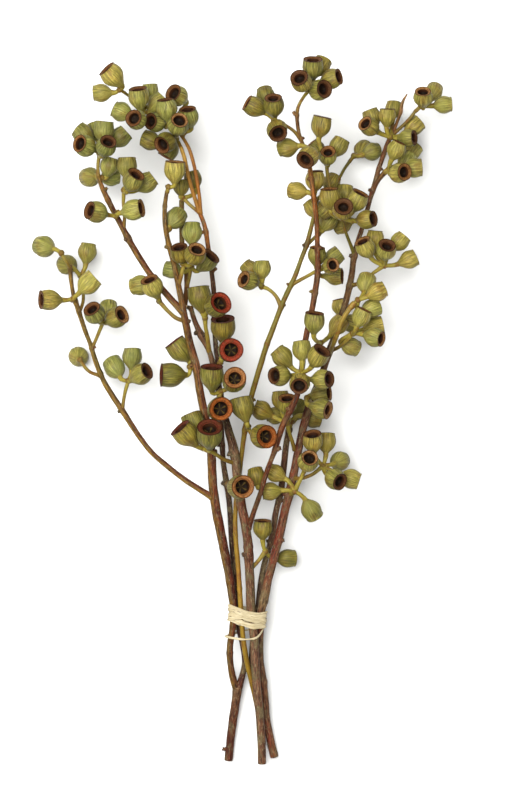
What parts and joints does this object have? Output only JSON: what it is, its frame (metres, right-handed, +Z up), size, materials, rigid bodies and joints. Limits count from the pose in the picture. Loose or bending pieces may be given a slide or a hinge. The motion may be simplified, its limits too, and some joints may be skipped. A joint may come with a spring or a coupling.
{
  "type": "dried gumnut bunch",
  "caption": "Bunch of dried brown branches with clusters of olive cup-shaped gumnuts, tied with raffia near the cut ends and lying flat.",
  "frame": {"origin": "centre of the bunch's bounding box in plan, at the surface that it lies on", "axes": "+Y from the cut ends to the tips of the branches, +X to the right as seen from above with the tips away, +Z up from the surface"},
  "size_m": [0.295, 0.4994, 0.0918],
  "materials": {
    "brown_bark": "matt dry bark",
    "yellow_bark": "smooth dry bark",
    "gumnut": "dry ribbed skin with a brown mouth",
    "raffia": "creased dry raffia"
  },
  "bodies": {
    "root": {"centre_branch": "brown_bark", "centre_nuts_01": "gumnut", "centre_nuts_02": "gumnut", "centre_nuts_03": "gumnut", "dark_stem_nuts": "gumnut", "front_nuts_01": "gumnut", "front_nuts_02": "gumnut", "front_nuts_03": "gumnut", "front_nuts_04": "gumnut", "front_nuts_05": "gumnut", "front_nuts_06": "gumnut", "left_branch": "brown_bark", "left_nuts_01": "gumnut", "left_nuts_02": "gumnut", "left_nuts_03": "gumnut", "left_nuts_04": "gumnut", "left_nuts_05": "gumnut", "left_nuts_06": "gumnut", "left_nuts_07": "gumnut", "left_nuts_08": "gumnut", "left_nuts_09": "gumnut", "left_nuts_10": "gumnut", "left_nuts_11": "gumnut", "left_nuts_12": "gumnut", "left_nuts_13": "gumnut", "left_nuts_14": "gumnut", "left_nuts_15": "gumnut", "left_nuts_16": "gumnut", "low_left_nuts_01": "gumnut", "low_left_nuts_02": "gumnut", "low_left_nuts_03": "gumnut", "low_left_nuts_04": "gumnut", "low_left_nuts_05": "gumnut", "low_left_nuts_06": "gumnut", "low_right_nuts_01": "gumnut", "low_right_nuts_02": "gumnut", "orange_nuts_01": "gumnut", "orange_nuts_02": "gumnut", "raffia_tie": "raffia", "right_branch": "brown_bark", "right_nuts_01": "gumnut", "right_nuts_02": "gumnut", "right_nuts_03": "gumnut", "right_nuts_04": "gumnut", "right_nuts_05": "gumnut", "right_nuts_06": "gumnut", "right_nuts_07": "gumnut", "right_nuts_08": "gumnut", "right_nuts_09": "gumnut", "right_nuts_10": "gumnut", "right_nuts_11": "gumnut", "right_nuts_12": "gumnut", "short_dark_stem": "brown_bark", "tie_nuts": "gumnut", "yellow_branch": "yellow_bark", "yellow_nuts_01": "gumnut", "yellow_nuts_02": "gumnut", "yellow_nuts_03": "gumnut", "yellow_nuts_04": "gumnut", "yellow_nuts_05": "gumnut"}
  },
  "joints": []
}
